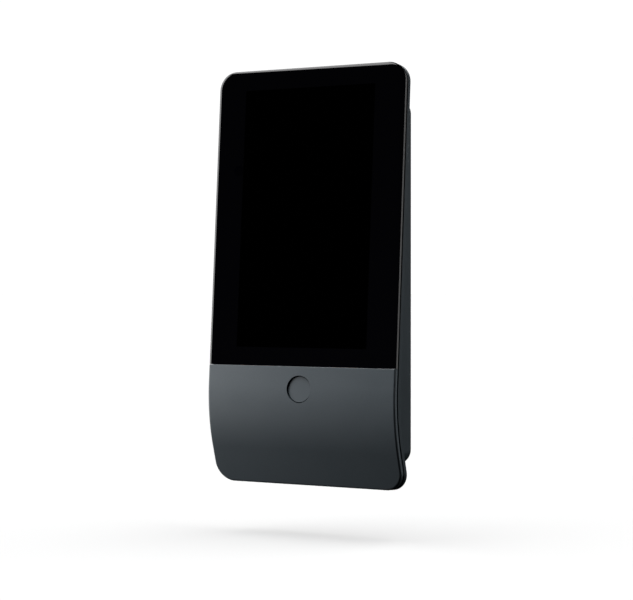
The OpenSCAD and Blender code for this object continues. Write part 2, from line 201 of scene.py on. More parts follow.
FACE = FaceFrame.from_cad()
PIECES = bpy.data.collections.new("keypad_matt_pieces")
POLISHED = bpy.data.collections.new("keypad_polished_pieces")
for group in (PIECES, POLISHED):
    bpy.context.scene.collection.children.link(group)


def cad_copy(node: str) -> bmesh.types.BMesh:
    """A merged copy of a CAD node's mesh, with its flat faces joined.

    Args:
        node: The CAD node's name.

    Returns:
        A new bmesh, in the row frame.
    """
    bm = bmesh.new()
    bm.from_mesh(FRAME["nodes"][node].data)
    bmesh.ops.remove_doubles(bm, verts=bm.verts, dist=0.002 * MM)
    bmesh.ops.dissolve_limit(
        bm,
        angle_limit=math.radians(0.4),
        verts=bm.verts,
        edges=bm.edges,
        use_dissolve_boundaries=False,
    )
    return bm


def bevel(
    bm: bmesh.types.BMesh, edges: list[bmesh.types.BMEdge], radius: float, steps: int
) -> None:
    """Rounds edges.

    Args:
        bm: The mesh.
        edges: The edges that are rounded.
        radius: The rounding, in the mesh's own units.
        steps: How many faces the rounding has across it.
    """
    bmesh.ops.bevel(
        bm,
        geom=edges,
        offset=radius,
        offset_type="OFFSET",
        segments=steps,
        profile=0.5,
        affect="EDGES",
        clamp_overlap=True,
        material=-1,
    )


def round_edges(
    bm: bmesh.types.BMesh, pick: Callable[[bmesh.types.BMEdge], bool], radius: float, steps: int = 3
) -> int:
    """Rounds the sharp edges that are picked.

    Args:
        bm: The mesh.
        pick: Says whether an edge is rounded.
        radius: The rounding, in millimetres.
        steps: How many faces the rounding has across it.

    Returns:
        The number of edges that were rounded.
    """
    sharp = [
        e
        for e in bm.edges
        if e.is_manifold and e.calc_face_angle_signed(0) > SHARP_TURN and pick(e)
    ]
    if sharp:
        bevel(bm, sharp, radius * MM, steps)
    return len(sharp)


def outline_gap(x: float, z: float, width: float, height: float, corner: float) -> float:
    """Measures how far a point lies outside a rectangle with round corners.

    Args:
        x: The point's distance across from the rectangle's middle.
        z: Its distance up from the middle.
        width: The rectangle's width.
        height: The rectangle's height.
        corner: The radius of its corners.

    Returns:
        The distance to the outline, below zero inside it.
    """
    dx = abs(x) - (width / 2 - corner)
    dz = abs(z) - (height / 2 - corner)
    return math.hypot(max(dx, 0), max(dz, 0)) + min(max(dx, dz), 0) - corner


def finish_piece(
    name: str,
    bm: bmesh.types.BMesh,
    body: Body,
    finishes: Iterable[Finish],
    node: str,
    smooth_below: float = 32.0,
    group: bpy.types.Collection = PIECES,
) -> bpy.types.Object:
    """Makes a piece of a bmesh, dresses it and puts it in a CAD node's place.

    Args:
        name: The piece's name.
        bm: Its mesh, in the row frame. It is freed.
        body: The body it rides on.
        finishes: Its finishes, in the order of the faces' material indices.
        node: The CAD node that it stands for.
        smooth_below: Edges flatter than this many degrees are shaded smooth.
        group: The collection, which says what lights it.

    Returns:
        The new object.
    """
    for face in bm.faces:
        face.smooth = True
    for edge in bm.edges:
        edge.smooth = not edge.is_manifold or edge.calc_face_angle(0) < math.radians(smooth_below)
    mesh = bpy.data.meshes.new(name)
    bm.to_mesh(mesh)
    bm.free()
    piece = bpy.data.objects.new(name, mesh)
    group.objects.link(piece)
    for finish in finishes:
        mesh.materials.append(finish.material())
    weigh = piece.modifiers.new("flat_faces_stay_flat", "WEIGHTED_NORMAL")
    weigh.keep_sharp = True
    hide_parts(node)
    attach(piece, body.value)
    LOG.info("%s: %d faces", name, len(mesh.polygons))
    return piece


# ---- Finishes ------------------------------------------------------------------------


@dataclass(frozen=True)
class Finish:
    """A finish: what the material is and how its surface was made."""

    name: str

    def material(self) -> bpy.types.Material:
        """Makes the finish's material, or finds the one that was made before.

        Returns:
            The material.
        """
        made = bpy.data.materials.get(self.name)
        if made is None:
            made = bpy.data.materials.new(self.name)
            made.use_nodes = True
            made.node_tree.nodes.clear()
            self.build(made.node_tree)
        return made

    def build(self, tree: bpy.types.NodeTree) -> None:
        """Builds the node tree. Each kind of finish has its own.

        Args:
            tree: The material's node tree.
        """
        raise NotImplementedError

    @staticmethod
    def surface(tree: bpy.types.NodeTree, settings: dict, **links) -> bpy.types.Node:
        """Adds the shader and the output.

        Args:
            tree: The material's node tree.
            settings: Constant values on the shader's own sockets.
            links: What feeds its other sockets.

        Returns:
            The shader.
        """
        shader = add(tree, "ShaderNodeBsdfPrincipled", settings, **links)
        add(tree, "ShaderNodeOutputMaterial", Surface=shader.outputs[0])
        return shader


@dataclass(frozen=True)
class MouldedPlastic(Finish):
    """Injection-moulded ABS or polycarbonate from a spark-eroded mould.

    The mould's fine grit shows as an even speckle and spreads the highlights.
    """

    colour: str
    roughness: float = 0.45
    grit: float = 0.35  # mm; the real grit is near 0.05, drawn as coarse as it shows
    depth: float = 0.25
    speckle: float = 0.06
    specular: float = 0.5
    handled: float = 14.0  # mm from one smoother patch to the next

    def build(self, tree: bpy.types.NodeTree) -> None:
        """Builds speckle in the colour, the roughness and the bump.

        Args:
            tree: The material's node tree.
        """
        place = add(tree, "ShaderNodeTexCoord").outputs["Object"]
        fine = add(
            tree,
            "ShaderNodeTexNoise",
            {"Scale": 1 / (self.grit * MM), "Detail": 2.0, "Roughness": 0.6},
            Vector=place,
        )
        broad = add(
            tree,
            "ShaderNodeTexNoise",
            {"Scale": 1 / (self.handled * MM), "Detail": 3.0},
            Vector=place,
        )
        base = linear(self.colour)
        low, high = shade(base, 1 - self.speckle), shade(base, 1 + self.speckle)
        tint = add(
            tree,
            "ShaderNodeMix",
            {"data_type": "RGBA", 6: low, 7: high},
            _0=add(
                tree,
                "ShaderNodeMapRange",
                {"From Min": 0.35, "From Max": 0.65},
                Value=fine.outputs["Fac"],
            ).outputs[0],
        )
        rough = add(
            tree,
            "ShaderNodeMapRange",
            {"To Min": self.roughness - 0.03, "To Max": self.roughness + 0.05},
            Value=broad.outputs["Fac"],
        )
        bump = add(
            tree,
            "ShaderNodeBump",
            {"Strength": self.depth, "Distance": 0.05 * MM},
            Height=fine.outputs["Fac"],
        )
        self.surface(
            tree,
            {"Specular IOR Level": self.specular, "IOR": 1.5},
            Base_Color=tint.outputs[2],
            Roughness=rough.outputs[0],
            Normal=bump.outputs[0],
        )


@dataclass(frozen=True)
class PrintedGlass(Finish):
    """Toughened soda-lime glass, polished, with black ink printed on its back.

    The ink is a shade lighter than the dark picture area, and a sensor looks out
    through a thin spot in it.
    """

    frame: FaceFrame
    ink: str = "#020203"
    window: str = "#010102"
    picture_w: float = 62.1
    picture_h: float = 110.4
    picture_rise: float = -0.5
    sensor_x: float = -33.3
    sensor_z: float = 20.0
    sensor_r: float = 2.3
    film: float = 9.0  # mm from one faint smear to the next
    soft: float = 0.1  # mm, half the width of the ink's soft edge

    def build(self, tree: bpy.types.NodeTree) -> None:
        """Builds the ink's border, the picture area and the sensor's spot.

        Args:
            tree: The material's node tree.
        """
        turn = self.frame.matrix().inverted()
        place = add(
            tree,
            "ShaderNodeMapping",
            {
                "vector_type": "POINT",
                "Location": turn.to_translation() / MM,
                "Rotation": turn.to_euler(),
                "Scale": (1 / MM,) * 3,
            },
            Vector=add(tree, "ShaderNodeTexCoord").outputs["Object"],
        )
        x, _, z = add(tree, "ShaderNodeSeparateXYZ", Vector=place.outputs[0]).outputs
        sides = [
            self.inside(tree, x, 0.0, self.picture_w / 2),
            self.inside(tree, z, self.picture_rise, self.picture_h / 2),
        ]
        picture = add(
            tree, "ShaderNodeMath", {"operation": "MULTIPLY"}, _0=sides[0], _1=sides[1]
        )
        far = add(
            tree,
            "ShaderNodeVectorMath",
            {"operation": "DISTANCE", 1: (self.sensor_x, 0.0, self.sensor_z)},
            _0=add(tree, "ShaderNodeCombineXYZ", X=x, Z=z).outputs[0],
        )
        spot = add(
            tree,
            "ShaderNodeMapRange",
            {
                "From Min": self.sensor_r - self.soft,
                "From Max": self.sensor_r + self.soft,
                "To Min": 1.0,
                "To Max": 0.0,
            },
            Value=far.outputs["Value"],
        )
        ink = add(
            tree,
            "ShaderNodeMix",
            {"data_type": "RGBA", 6: linear(self.ink), 7: (0.0, 0.0, 0.0, 1.0)},
            _0=picture.outputs[0],
        )
        colour = add(
            tree,
            "ShaderNodeMix",
            {"data_type": "RGBA", 7: linear(self.window)},
            _0=spot.outputs[0],
            _6=ink.outputs[2],
        )
        film = add(
            tree,
            "ShaderNodeTexNoise",
            {"Scale": 1 / (self.film * MM), "Detail": 4.0},
            Vector=add(tree, "ShaderNodeTexCoord").outputs["Object"],
        )
        rough = add(
            tree, "ShaderNodeMapRange", {"To Min": 0.02, "To Max": 0.05}, Value=film.outputs["Fac"]
        )
        self.surface(
            tree,
            {"IOR": 1.52},
            Base_Color=colour.outputs[2],
            Roughness=rough.outputs[0],
        )

    def inside(
        self, tree: bpy.types.NodeTree, value: bpy.types.NodeSocket, middle: float, half: float
    ) -> bpy.types.NodeSocket:
        """Marks a band of values.

        Args:
            tree: The material's node tree.
            value: The value, in millimetres.
            middle: The band's middle.
            half: Half of the band's width.

        Returns:
            One inside the band, falling to zero over the ink's soft edge.
        """
        off = add(tree, "ShaderNodeMath", {"operation": "SUBTRACT", 1: middle}, _0=value)
        size = add(tree, "ShaderNodeMath", {"operation": "ABSOLUTE"}, _0=off.outputs[0])
        ramp = add(
            tree,
            "ShaderNodeMapRange",
            {
                "From Min": half - self.soft,
                "From Max": half + self.soft,
                "To Min": 1.0,
                "To Max": 0.0,
            },
            Value=size.outputs[0],
        )
        return ramp.outputs[0]


@dataclass(frozen=True)
class GroundGlass(Finish):
    """The glass's side, ground square and left matt, with the black ink showing through."""

    colour: str = "#1c1c1d"
    scratch: float = 0.6  # mm from streak to streak, along the edge

    def build(self, tree: bpy.types.NodeTree) -> None:
        """Builds the streaks that the wheel leaves along the edge.

        Args:
            tree: The material's node tree.
        """
        place = add(
            tree,
            "ShaderNodeMapping",
            {"Scale": (1.0, 6.0, 1.0)},
            Vector=add(tree, "ShaderNodeTexCoord").outputs["Object"],
        )
        grind = add(
            tree,
            "ShaderNodeTexNoise",
            {"Scale": 1 / (self.scratch * MM), "Detail": 3.0},
            Vector=place.outputs[0],
        )
        base = linear(self.colour)
        tint = add(
            tree,
            "ShaderNodeMix",
            {"data_type": "RGBA", 6: shade(base, 0.85), 7: shade(base, 1.15)},
            _0=grind.outputs["Fac"],
        )
        bump = add(
            tree,
            "ShaderNodeBump",
            {"Strength": 0.2, "Distance": 0.02 * MM},
            Height=grind.outputs["Fac"],
        )
        self.surface(
            tree,
            {"IOR": 1.52, "Roughness": 0.38},
            Base_Color=tint.outputs[2],
            Normal=bump.outputs[0],
        )


@dataclass(frozen=True)
class Metal(Finish):
    """Plated or rolled metal, with fine lines or grain from how it was made."""

    colour: str
    roughness: float = 0.35
    grain: tuple[float, float, float] = (1.0, 1.0, 1.0)
    pitch: float = 0.4  # mm between lines
    patch: float = 5.0  # mm from one tarnish patch to the next

    def build(self, tree: bpy.types.NodeTree) -> None:
        """Builds the lines in the roughness and the bump, and slight tarnish.

        Args:
            tree: The material's node tree.
        """
        place = add(
            tree,
            "ShaderNodeMapping",
            {"Scale": self.grain},
            Vector=add(tree, "ShaderNodeTexCoord").outputs["Object"],
        )
        lines = add(
            tree,
            "ShaderNodeTexNoise",
            {"Scale": 1 / (self.pitch * MM), "Detail": 3.0},
            Vector=place.outputs[0],
        )
        patch = add(
            tree,
            "ShaderNodeTexNoise",
            {"Scale": 1 / (self.patch * MM), "Detail": 2.0},
            Vector=place.outputs[0],
        )
        base = linear(self.colour)
        tint = add(
            tree,
            "ShaderNodeMix",
            {"data_type": "RGBA", 6: shade(base, 0.86), 7: base},
            _0=patch.outputs["Fac"],
        )
        rough = add(
            tree,
            "ShaderNodeMapRange",
            {"To Min": self.roughness - 0.08, "To Max": self.roughness + 0.1},
            Value=lines.outputs["Fac"],
        )
        bump = add(
            tree,
            "ShaderNodeBump",
            {"Strength": 0.15, "Distance": 0.02 * MM},
            Height=lines.outputs["Fac"],
        )
        self.surface(
            tree,
            {"Metallic": 1.0},
            Base_Color=tint.outputs[2],
            Roughness=rough.outputs[0],
            Normal=bump.outputs[0],
        )


@dataclass(frozen=True)
class CircuitBoard(Finish):
    """Glass-epoxy laminate under green solder mask, with copper runs showing through."""

    mask: str = "#123a28"
    run: str = "#1f5a3c"
    pitch: float = 1.6  # mm between runs

    def build(self, tree: bpy.types.NodeTree) -> None:
        """Builds stepped bands, as copper runs and pours, under a glossy mask.

        Args:
            tree: The material's node tree.
        """
        place = add(tree, "ShaderNodeTexCoord").outputs["Object"]
        cells = add(
            tree,
            "ShaderNodeTexVoronoi",
            {"distance": "CHEBYCHEV", "Scale": 1 / (4 * self.pitch * MM)},
            Vector=place,
        )
        runs = add(
            tree,
            "ShaderNodeMath",
            {"operation": "PINGPONG", 1: 0.12},
            _0=cells.outputs["Distance"],
        )
        edge = add(
            tree, "ShaderNodeMapRange", {"From Min": 0.055, "From Max": 0.07}, Value=runs.outputs[0]
        )
        tint = add(
            tree,
            "ShaderNodeMix",
            {"data_type": "RGBA", 6: linear(self.mask), 7: linear(self.run)},
            _0=edge.outputs[0],
        )
        bump = add(
            tree, "ShaderNodeBump", {"Strength": 0.3, "Distance": 0.03 * MM}, Height=edge.outputs[0]
        )
        self.surface(tree, {"Roughness": 0.28}, Base_Color=tint.outputs[2], Normal=bump.outputs[0])


@dataclass(frozen=True)
class RibbonFilm(Finish):
    """Polyimide film over flat copper leads: amber, glossy, with lines along it."""

    film: str = "#8a4b12"
    lead: str = "#b4742a"
    pitch: float = 1.0  # mm from lead to lead

    def build(self, tree: bpy.types.NodeTree) -> None:
        """Builds the leads as bands across the ribbon.

        Args:
            tree: The material's node tree.
        """
        place = add(tree, "ShaderNodeTexCoord").outputs["Object"]
        across = add(tree, "ShaderNodeSeparateXYZ", Vector=place).outputs[0]
        wave = add(
            tree,
            "ShaderNodeMath",
            {"operation": "PINGPONG", 1: self.pitch / 2 * MM},
            _0=across,
        )
        band = add(
            tree,
            "ShaderNodeMapRange",
            {"From Min": 0.2 * self.pitch * MM, "From Max": 0.26 * self.pitch * MM},
            Value=wave.outputs[0],
        )
        tint = add(
            tree,
            "ShaderNodeMix",
            {"data_type": "RGBA", 6: linear(self.film), 7: linear(self.lead)},
            _0=band.outputs[0],
        )
        bump = add(
            tree, "ShaderNodeBump", {"Strength": 0.3, "Distance": 0.03 * MM}, Height=band.outputs[0]
        )
        self.surface(tree, {"Roughness": 0.22}, Base_Color=tint.outputs[2], Normal=bump.outputs[0])


@dataclass(frozen=True)
class Foam(Finish):
    """Closed-cell acrylic foam tape, die cut: matt, with small round cells."""

    colour: str = "#141516"
    cell: float = 0.4  # mm

    def build(self, tree: bpy.types.NodeTree) -> None:
        """Builds the cells in the colour and the bump.

        Args:
            tree: The material's node tree.
        """
        place = add(tree, "ShaderNodeTexCoord").outputs["Object"]
        cells = add(tree, "ShaderNodeTexVoronoi", {"Scale": 1 / (self.cell * MM)}, Vector=place)
        base = linear(self.colour)
        tint = add(
            tree,
            "ShaderNodeMix",
            {"data_type": "RGBA", 6: shade(base, 0.7), 7: base},
            _0=cells.outputs["Distance"],
        )
        bump = add(
            tree,
            "ShaderNodeBump",
            {"Strength": 0.5, "Distance": 0.05 * MM},
            Height=cells.outputs["Distance"],
        )
        self.surface(tree, {"Roughness": 0.85}, Base_Color=tint.outputs[2], Normal=bump.outputs[0])


# Fine mould grit breaks the light into one even satin sheen, bluish grey.
COVER_PLASTIC = MouldedPlastic("satin_polycarbonate_moulded", "#3b4247", 0.4, speckle=0.07)
# The same hue, duller, so that it stays behind the face plates.
HOUSING_PLASTIC = MouldedPlastic("black_abs_moulded", "#262f34", 0.5, specular=0.38)
# Coarser grit: the bracket's sides read as one flat matt tone.
BRACKET_PLASTIC = MouldedPlastic(
    "dark_abs_bracket_moulded", "#2b353a", 0.55, grit=0.5, specular=0.38
)
# Almost no light comes back: the frame's black nylon, made darker still as painted shade, so that
# the shadow gap round the face stays black.
FRAME_PLASTIC_AND_GAP_SHADE = MouldedPlastic("black_nylon_and_painted_gap_shade", "#060607", 0.6, specular=0.2)
# Milky and slightly waxy, as unpainted small mechanical parts are.
NATURAL_PLASTIC = MouldedPlastic("natural_acetal_moulded", "#d5d2c8", 0.38, speckle=0.02)
# Green, half glossy: picks the terminals out of the cable opening.
TERMINAL_PLASTIC = MouldedPlastic("green_polyamide_moulded", "#1f6a48", 0.4, speckle=0.03)
# Deep fine grit, dull black, as the packages of electronic parts.
CHIP_EPOXY = MouldedPlastic("epoxy_package_moulded", "#151517", 0.62, grit=0.2, depth=0.4)
# Deep black with clear reflections; the picture area is a shade darker than the ink.
FACE_GLASS = PrintedGlass("printed_glass_polished", FACE)
# Grey and frosted, it draws a thin light line round the glass.
GLASS_EDGE = GroundGlass("printed_glass_ground_edge")
# Swallows light between the glass and its frame.
TAPE_FOAM = Foam("acrylic_foam_tape_die_cut")
# Glossy near-black film over the screen's cell.
SCREEN_CELL = MouldedPlastic("display_cell_laminated", "#08080a", 0.2, depth=0.03, speckle=0.02)
# Small grey glints in the screw heads.
SCREW_STEEL = Metal("zinc_plated_steel_turned", "#8d9194", 0.32)
# Bright and slightly cloudy, as tin is.
TINNED_STEEL = Metal("tinned_steel_pressed", "#b3b6b8", 0.3)
# Rolling lines run up the sheet and stretch its highlights.
BACKLIGHT_STEEL = Metal("stainless_steel_rolled", "#a9acae", 0.34, grain=(1.0, 1.0, 0.08))
# Clean bright cans.
CAPACITOR_CAN = Metal("aluminium_can_drawn", "#bfc2c4", 0.26)
# Dark glossy green with lighter copper runs under it.
BOARD_LAMINATE = CircuitBoard("glass_epoxy_solder_masked")
# Amber with copper stripes along it.
FLEX_FILM = RibbonFilm("polyimide_ribbon_laminated")


# ---- Face: glass, lower cover and button ----------------------------------------------


@dataclass
class CoverGlass:
    """The glass over the screen: a slab with round top corners and softly falling edges."""

    corner_r: float = 8.0
    edge_w: float = 2.2
    edge_drop: float = 0.8
    edge_steps: int = 9
    foot_r: float = 0.15
    foot_steps: int = 2
    corner_steps: int = 24
    near: float = 0.1  # mm, the slack in telling which corner an edge is at

    def build(self) -> bmesh.types.BMesh:
        """Builds the slab in the face's frame and moves it into place.

        Returns:
            The mesh, in the row frame.
        """
        half_h, thick = FACE.glass_h / 2, FACE.glass_t
        spare = 2 * self.edge_w
        bm = bmesh.new()
        bmesh.ops.create_cube(bm, size=1.0)
        size = (FACE.width, thick - self.edge_drop, FACE.glass_h + spare)
        bmesh.ops.scale(bm, vec=size, verts=bm.verts)
        bmesh.ops.translate(bm, vec=(0, (thick + self.edge_drop) / 2, -spare / 2), verts=bm.verts)
        corners = [
            e
            for e in bm.edges
            if all(v.co.z > half_h - self.near for v in e.verts)
            and abs(e.verts[0].co.x - e.verts[1].co.x) < self.near
        ]
        bevel(bm, corners, self.corner_r, self.corner_steps)
        self.raise_front(bm)
        self.cut_foot(bm, -half_h)
        bm.normal_update()
        for face in bm.faces:
            on_side = abs(face.normal.y) < 0.02 and face.normal.z > -0.5
            face.material_index = int(on_side)
        bmesh.ops.scale(bm, vec=(MM,) * 3, verts=bm.verts)
        bmesh.ops.transform(bm, matrix=FACE.matrix(), verts=bm.verts)
        return bm

    def raise_front(self, bm: bmesh.types.BMesh) -> None:
        """Raises the front face over its edges, along a quarter of an ellipse.

        Args:
            bm: The slab.
        """
        front = min(bm.faces, key=lambda f: f.calc_center_median().y)
        turns = [math.pi / 2 * i / self.edge_steps for i in range(self.edge_steps + 1)]
        for before, after in zip(turns, turns[1:]):
            bmesh.ops.inset_region(
                bm,
                faces=[front],
                thickness=self.edge_w * (math.cos(before) - math.cos(after)),
                depth=self.edge_drop * (math.sin(after) - math.sin(before)),
                use_even_offset=True,
                use_boundary=True,
            )

    def cut_foot(self, bm: bmesh.types.BMesh, height: float) -> None:
        """Cuts the slab off square where it meets the lower cover, and breaks that edge.

        Args:
            bm: The slab.
            height: Where it is cut, up the face.
        """
        bmesh.ops.bisect_plane(
            bm,
            geom=bm.verts[:] + bm.edges[:] + bm.faces[:],
            dist=1e-4,
            plane_co=(0, 0, height),
            plane_no=(0, 0, -1),
            clear_outer=True,
        )
        bmesh.ops.holes_fill(bm, edges=[e for e in bm.edges if e.is_boundary], sides=0)
        foot = [
            e
            for e in bm.edges
            if all(v.co.z < height + NEAR and v.co.y < self.edge_drop - NEAR for v in e.verts)
        ]
        bevel(bm, foot, self.foot_r, self.foot_steps)

    def dress(self) -> None:
        """Makes the piece: polished face, ground side."""
        finish_piece(
            "keypad_cover_glass",
            self.build(),
            Body.PANEL,
            [FACE_GLASS, GLASS_EDGE],
            "cover_glass",
            group=POLISHED,
        )


@dataclass
class LowerCover:
    """The bent cover below the glass, with the button's hole in it."""

    edge_r: float = 0.8
    seam_r: float = 0.25
    hole_r: float = 5.75
    hole_edge_r: float = 0.2
    pick_slack: float = 0.05  # mm, for edges near a rounding or the hole
    hole_clear: float = 0.5  # mm round the hole where no edge counts as the perimeter
    hole_depth: float = 1.0  # mm, short of the hole's back edge
    edge_steps: int = 5
    front_facing: float = 0.85  # how squarely a face looks forward, past which it is a front
    side_facing: float = 0.35  # and under which it is a side

    def build(self) -> bmesh.types.BMesh:
        """Builds the cover from the CAD shape, with its outside edges rounded.

        Returns:
            The mesh, in the row frame.
        """
        bm = cad_copy("lower_cover")
        low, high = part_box("front_button")
        hole = FACE.local((low + high) / 2)
        local = [FACE.local(v.co) for v in bm.verts]
        top = max(p.z for p in local if p.y < NEAR)
        turn = FACE.matrix().to_3x3().inverted()

        def points(edge: bmesh.types.BMEdge) -> list[Vector]:
            """Gives an edge's two ends in the face's frame."""
            return [FACE.local(v.co) for v in edge.verts]

        def from_hole(point: Vector) -> float:
            """Measures how far a point lies from the hole's axis."""
            return math.hypot(point.x - hole.x, point.z - hole.z)

        def on_front(edge: bmesh.types.BMEdge) -> bool:
            """Says whether an edge lies between the front and a side."""
            ahead = sorted(-(turn @ f.normal).y for f in edge.link_faces)
            return ahead[-1] > self.front_facing and abs(ahead[0]) < self.side_facing

        def at_seam(edge: bmesh.types.BMEdge) -> bool:
            """Says whether an edge lies at the seam with the glass."""
            return all(p.z > top - 2 * NEAR for p in points(edge))

        def perimeter(edge: bmesh.types.BMEdge) -> bool:
            """Says whether an edge runs round the outside of the front."""
            clear = all(from_hole(p) > self.hole_r + self.hole_clear for p in points(edge))
            return on_front(edge) and not at_seam(edge) and clear

        def rim_of_hole(edge: bmesh.types.BMEdge) -> bool:
            """Says whether an edge runs round the button's hole."""
            return on_front(edge) and all(
                abs(from_hole(p) - self.hole_r) < self.pick_slack and p.y < self.hole_depth
                for p in points(edge)
            )

        def seam(edge: bmesh.types.BMEdge) -> bool:
            """Says whether an edge is the front one at the seam."""
            return at_seam(edge) and all(p.y < self.edge_r + self.pick_slack for p in points(edge))

        LOG.info("cover perimeter: %d", round_edges(bm, perimeter, self.edge_r, self.edge_steps))
        LOG.info("cover hole: %d", round_edges(bm, rim_of_hole, self.hole_edge_r))
        LOG.info("cover seam: %d", round_edges(bm, seam, self.seam_r))
        return bm

    def dress(self) -> None:
        """Makes the piece in satin plastic."""
        finish_piece(
            "keypad_lower_cover",
            self.build(),
            Body.PANEL,
            [COVER_PLASTIC],
            "lower_cover",
        )


@dataclass
class FrontButton:
    """The round button, with the edge of its face rounded."""

    edge_r: float = 0.15
    edge_steps: int = 4
    flange_y: float = 0.8  # mm behind the glass, short of the button's flange
    inside_r: float = 5.0

    def build(self) -> bmesh.types.BMesh:
        """Builds the button from the CAD shape.

        Returns:
            The mesh, in the row frame.
        """
        bm = cad_copy("front_button")
        low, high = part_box("front_button")
        axis = FACE.local((low + high) / 2)

        def front_edge(edge: bmesh.types.BMEdge) -> bool:
            """Says whether an edge runs round the button's front."""
            points = [FACE.local(v.co) for v in edge.verts]
            return all(
                p.y < self.flange_y and math.hypot(p.x - axis.x, p.z - axis.z) > self.inside_r
                for p in points
            )

        LOG.info("button edges: %d", round_edges(bm, front_edge, self.edge_r, self.edge_steps))
        return bm

    def dress(self) -> None:
        """Makes the piece in the cover's plastic."""
        finish_piece(
            "keypad_front_button",
            self.build(),
            Body.BUTTON,
            [COVER_PLASTIC],
            "front_button",
        )


# ---- Housing, bracket and inner parts ---------------------------------------------------


@dataclass
class RearHousing:
    """The housing behind the face plates, with the edges of its rim and box broken."""

    corner_r: float = 8.0
    edge_r: float = 0.2
    box_edge_r: float = 0.6
    box_half_w: float = 30.0  # mm; edges of the box's back lie outside this
    box_half_h: float = 60.0

    def build(self) -> bmesh.types.BMesh:
        """Builds the housing from the CAD shape.

        Returns:
            The mesh, in the row frame.
        """
        bm = cad_copy("rear_housing")
        local = [FACE.local(v.co) for v in bm.verts]
        foot, top = min(p.z for p in local), max(p.z for p in local)
        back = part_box("rear_housing")[1].y

        def on_rim(point: Vector) -> bool:
            """Says whether a point lies on the housing's outline."""
            p = FACE.local(point)
            off = outline_gap(p.x, p.z - (foot + top) / 2, FACE.width, top - foot, self.corner_r)
            return abs(off) < OUTLINE_SLACK

        def rim(edge: bmesh.types.BMEdge) -> bool:
            """Says whether an edge lies along the housing's outline."""
            return all(on_rim(v.co) for v in edge.verts)

        def box_back(edge: bmesh.types.BMEdge) -> bool:
            """Says whether an edge runs round the back of the box."""
            points = [v.co / MM for v in edge.verts]
            outside = all(abs(p.x) > self.box_half_w or abs(p.z) > self.box_half_h for p in points)
            at_back = all(p.y > back / MM - NEAR for p in points)
            return outside and at_back and min(abs(f.normal.y) for f in edge.link_faces) < 0.1

        LOG.info("housing rim: %d", round_edges(bm, rim, self.edge_r))
        LOG.info("housing box: %d", round_edges(bm, box_back, self.box_edge_r))
        return bm

    def dress(self) -> None:
        """Makes the piece in black plastic."""
        finish_piece(
            "keypad_rear_housing",
            self.build(),
            Body.PANEL,
            [HOUSING_PLASTIC],
            "rear_housing",
        )


@dataclass
class WallBracket:
    """The bracket that the panel hangs on, with its outside edges broken."""

    corner_r: float = 6.0
    back_edge_r: float = 0.5

    def build(self) -> bmesh.types.BMesh:
        """Builds the bracket from the CAD shape.

        Returns:
            The mesh, in the row frame.
        """
        bm = cad_copy("wall_bracket")
        low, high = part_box("wall_bracket")
        size = (high - low) / MM

        def outside(edge: bmesh.types.BMEdge) -> bool:
            """Says whether an edge runs round the bracket's back."""
            points = [v.co / MM for v in edge.verts]
            return all(
                abs(outline_gap(p.x, p.z, size.x, size.z, self.corner_r)) < OUTLINE_SLACK
                and p.y > -NEAR
                for p in points
            )

        LOG.info("bracket back: %d", round_edges(bm, outside, self.back_edge_r))
        return bm

    def dress(self) -> None:
        """Makes the piece in dark plastic."""
        finish_piece(
            "keypad_wall_bracket",
            self.build(),
            Body.BRACKET,
            [BRACKET_PLASTIC],
            "wall_bracket",
        )


@dataclass
class HoldingScrew:
    """The screw under the bracket that locks the panel on its hooks."""

    edge_r: float = 0.35
    rim_share: float = 0.97  # of the head's radius, past which an edge is on its rim

    def build(self) -> bmesh.types.BMesh:
        """Builds the screw from the CAD shape, with its head's edge rounded.

        Returns:
            The mesh, in the row frame.
        """
        bm = cad_copy("holding_screw")
        low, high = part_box("holding_screw")
        middle = (low + high) / 2
        rim_r = (high.x - low.x) / 2 * self.rim_share

        def on_head_rim(point: Vector) -> bool:
            """Says whether a point lies on the rim of the head's end."""
            off = math.hypot(point.x - middle.x, point.y - middle.y)
            return point.z < low.z + NEAR * MM and off > rim_r

        def head(edge: bmesh.types.BMEdge) -> bool:
            """Says whether an edge lies along that rim."""
            return all(on_head_rim(v.co) for v in edge.verts)

        LOG.info("screw head: %d", round_edges(bm, head, self.edge_r))
        return bm

    def dress(self) -> None:
        """Makes the piece in plated steel."""
        finish_piece(
            "keypad_holding_screw",
            self.build(),
            Body.BRACKET,
            [SCREW_STEEL],
            "holding_screw",
        )


INNER_FINISHES: dict[str, Finish] = {
    "housing_screws": SCREW_STEEL,
    # near black: the frame's own plastic, plus painted shade for the gap round the face
    "front_frame": FRAME_PLASTIC_AND_GAP_SHADE,
    "glass_tape": TAPE_FOAM,
    "display_panel": SCREEN_CELL,
    "backlight_unit": BACKLIGHT_STEEL,
    "support_plate": BACKLIGHT_STEEL,
    "light_sensor": CHIP_EPOXY,
    "display_ribbon": FLEX_FILM,
    "touch_ribbon": FLEX_FILM,
    "button_guide": NATURAL_PLASTIC,
    "switch_stem": NATURAL_PLASTIC,
    "button_switch": CHIP_EPOXY,
    "button_board": BOARD_LAMINATE,
    "button_ribbon": FLEX_FILM,
    "main_board": BOARD_LAMINATE,
    "board_screws": SCREW_STEEL,
    "ribbon_connectors": NATURAL_PLASTIC,
    "shield_can": TINNED_STEEL,
    "processor": CHIP_EPOXY,
    "memory_chip": CHIP_EPOXY,
    "power_inductor": CHIP_EPOXY,
    "capacitors": CAPACITOR_CAN,
    "buzzer": CHIP_EPOXY,
    "terminal_block": TERMINAL_PLASTIC,
    "terminal_screws": SCREW_STEEL,
    "tamper_switch": CHIP_EPOXY,
    "tamper_plunger": NATURAL_PLASTIC,
}


def dress_cad(nodes: dict[str, Finish]) -> None:
    """Gives the CAD nodes that stay their finishes.

    Args:
        nodes: The finish of each CAD node.
    """
    for name, finish in nodes.items():
        piece = FRAME["nodes"][name]
        piece.data.materials.clear()
        piece.data.materials.append(finish.material())
        PIECES.objects.link(piece)
        LOG.info("%s: %s", name, finish.name)


# ---- Studio --------------------------------------------------------------------------------


